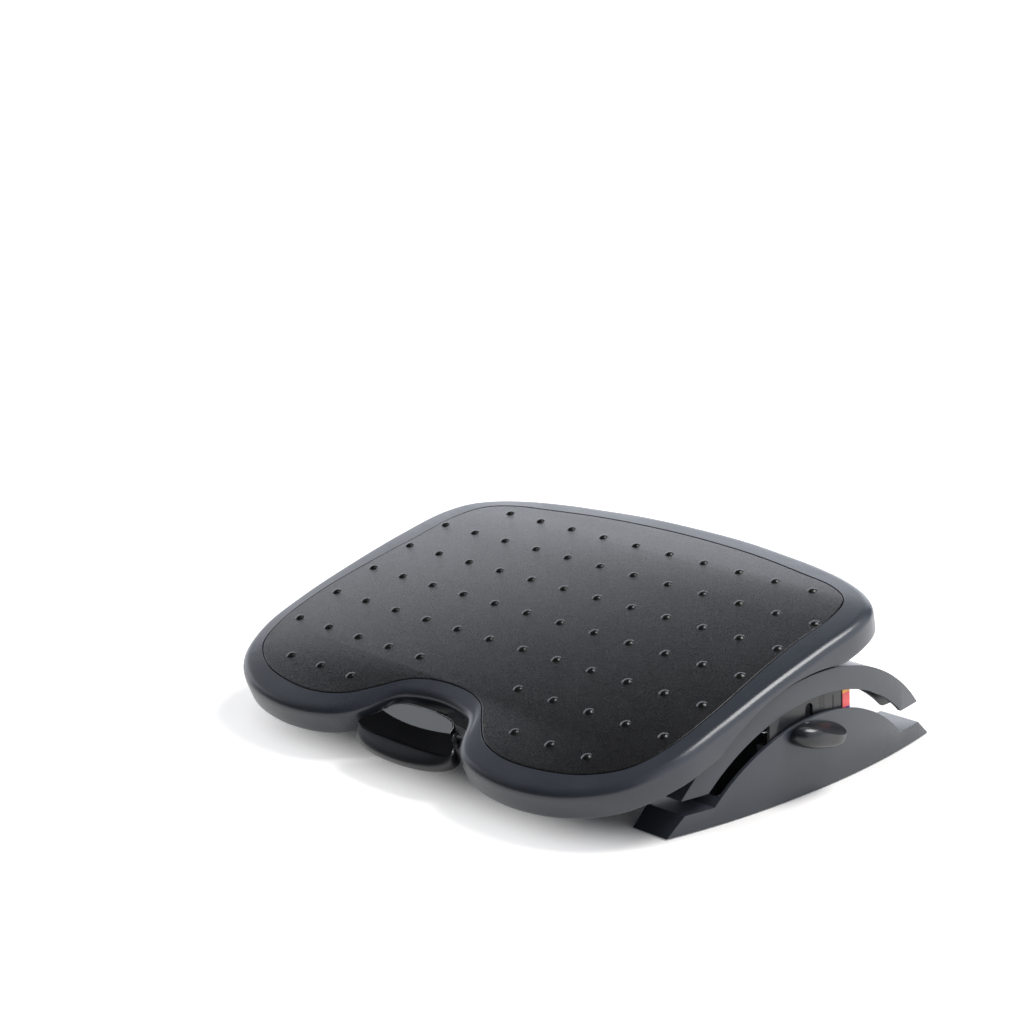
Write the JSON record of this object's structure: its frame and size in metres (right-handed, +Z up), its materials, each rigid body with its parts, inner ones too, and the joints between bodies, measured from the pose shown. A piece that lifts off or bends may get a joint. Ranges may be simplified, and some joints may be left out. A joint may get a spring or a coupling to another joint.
{
  "type": "tilting under-desk footrest",
  "caption": "Under-desk footrest: contoured deck with a studded mat on two arched rails in low feet, height knobs on the sides and a tilt release pedal in the front notch.",
  "frame": {"origin": "centre of the footprint's bounding box, on the floor under the rubber pads", "axes": "+X across the footrest, +Y away from the sitter, +Z up"},
  "size_m": [0.539, 0.376, 0.1367],
  "materials": {
    "shell": "satin moulded plastic, charcoal blue-grey",
    "mat": "fine leather-like grain",
    "knob": "dark satin gloss",
    "plate": "dark satin",
    "gloss": "high gloss black",
    "tag": "printed colour strip",
    "rubber": "soft black rubber",
    "steel": "zinc plated",
    "brass": "turned brass",
    "glide": "natural low-friction plastic"
  },
  "bodies": {
    "base": {"right_foot": "shell", "left_foot": "shell", "right_front_pad": "rubber", "left_front_pad": "rubber", "right_rear_pad": "rubber", "left_rear_pad": "rubber", "cross_beam": "shell", "right_beam_screw_1": "steel", "left_beam_screw_1": "steel", "right_beam_screw_2": "steel", "left_beam_screw_2": "steel", "right_clamp_bolt": "steel", "left_clamp_bolt": "steel"},
    "carriage": {"right_arch": "shell", "left_arch": "shell", "right_scale_plate": "plate", "left_scale_plate": "plate", "right_colour_tag": "tag", "left_colour_tag": "tag", "right_plate_screw_1": "steel", "left_plate_screw_1": "steel", "right_plate_screw_2": "steel", "left_plate_screw_2": "steel", "cross_tube": "steel", "right_tube_screw": "steel", "left_tube_screw": "steel"},
    "platform": {"deck_shell": "shell", "mat": "mat", "right_glide_liner": "glide", "left_glide_liner": "glide", "right_front_keeper": "plate", "left_front_keeper": "plate", "right_rear_keeper": "plate", "left_rear_keeper": "plate", "right_front_keeper_screw": "steel", "left_front_keeper_screw": "steel", "right_rear_keeper_screw": "steel", "left_rear_keeper_screw": "steel", "pedal_axle": "steel"},
    "pedal": {"pedal_spring": "steel", "pedal_cover": "gloss", "pedal_tray": "plate"},
    "release_link": {"release_link": "steel"},
    "brake": {"brake_crank": "plate", "brake_shaft": "steel", "right_brake_arm": "plate", "left_brake_arm": "plate", "right_brake_shoe": "rubber", "left_brake_shoe": "rubber"},
    "right_knob": {"right_knob": "knob", "right_knob_insert": "brass"},
    "left_knob": {"left_knob": "knob", "left_knob_insert": "brass"}
  },
  "joints": [
    {"name": "height_slide", "type": "slide", "parent": "base", "child": "carriage", "axis": [0, 0, 1], "range_m": [-0.0075, 0.0285]},
    {"name": "deck_tilt", "type": "hinge", "parent": "carriage", "child": "platform", "pos_m": [0, 0.03553, -0.08], "axis": [1, 0, 0], "range_deg": [-15, 1.5]},
    {"name": "pedal_press", "type": "hinge", "parent": "platform", "child": "pedal", "pos_m": [0, -0.14936, 0.04218], "axis": [1, 0, 0], "range_deg": [0, 9], "stiffness_Nm_per_rad": 0.5, "springref_deg": -11.46},
    {"name": "release_link_pivot", "type": "hinge", "parent": "pedal", "child": "release_link", "pos_m": [0, -0.14686, 0.03564], "axis": [1, 0, 0], "range_deg": [-9, 0]},
    {"name": "brake_release", "type": "hinge", "parent": "platform", "child": "brake", "pos_m": [0, -0.04311, 0.06049], "axis": [1, 0, 0], "range_deg": [-5, 0]},
    {"name": "right_knob_turn", "type": "hinge", "parent": "base", "child": "right_knob", "pos_m": [0.2525, 0.03053, 0.048], "axis": [1, 0, 0], "range_deg": [0, 180]},
    {"name": "left_knob_turn", "type": "hinge", "parent": "base", "child": "left_knob", "pos_m": [-0.2525, 0.03053, 0.048], "axis": [-1, 0, 0], "range_deg": [0, 180]}
  ],
  "couplings": [
    {"joint": "release_link_pivot", "follows": "pedal_press", "ratio": -1},
    {"joint": "brake_release", "follows": "pedal_press", "ratio": -0.5}
  ]
}
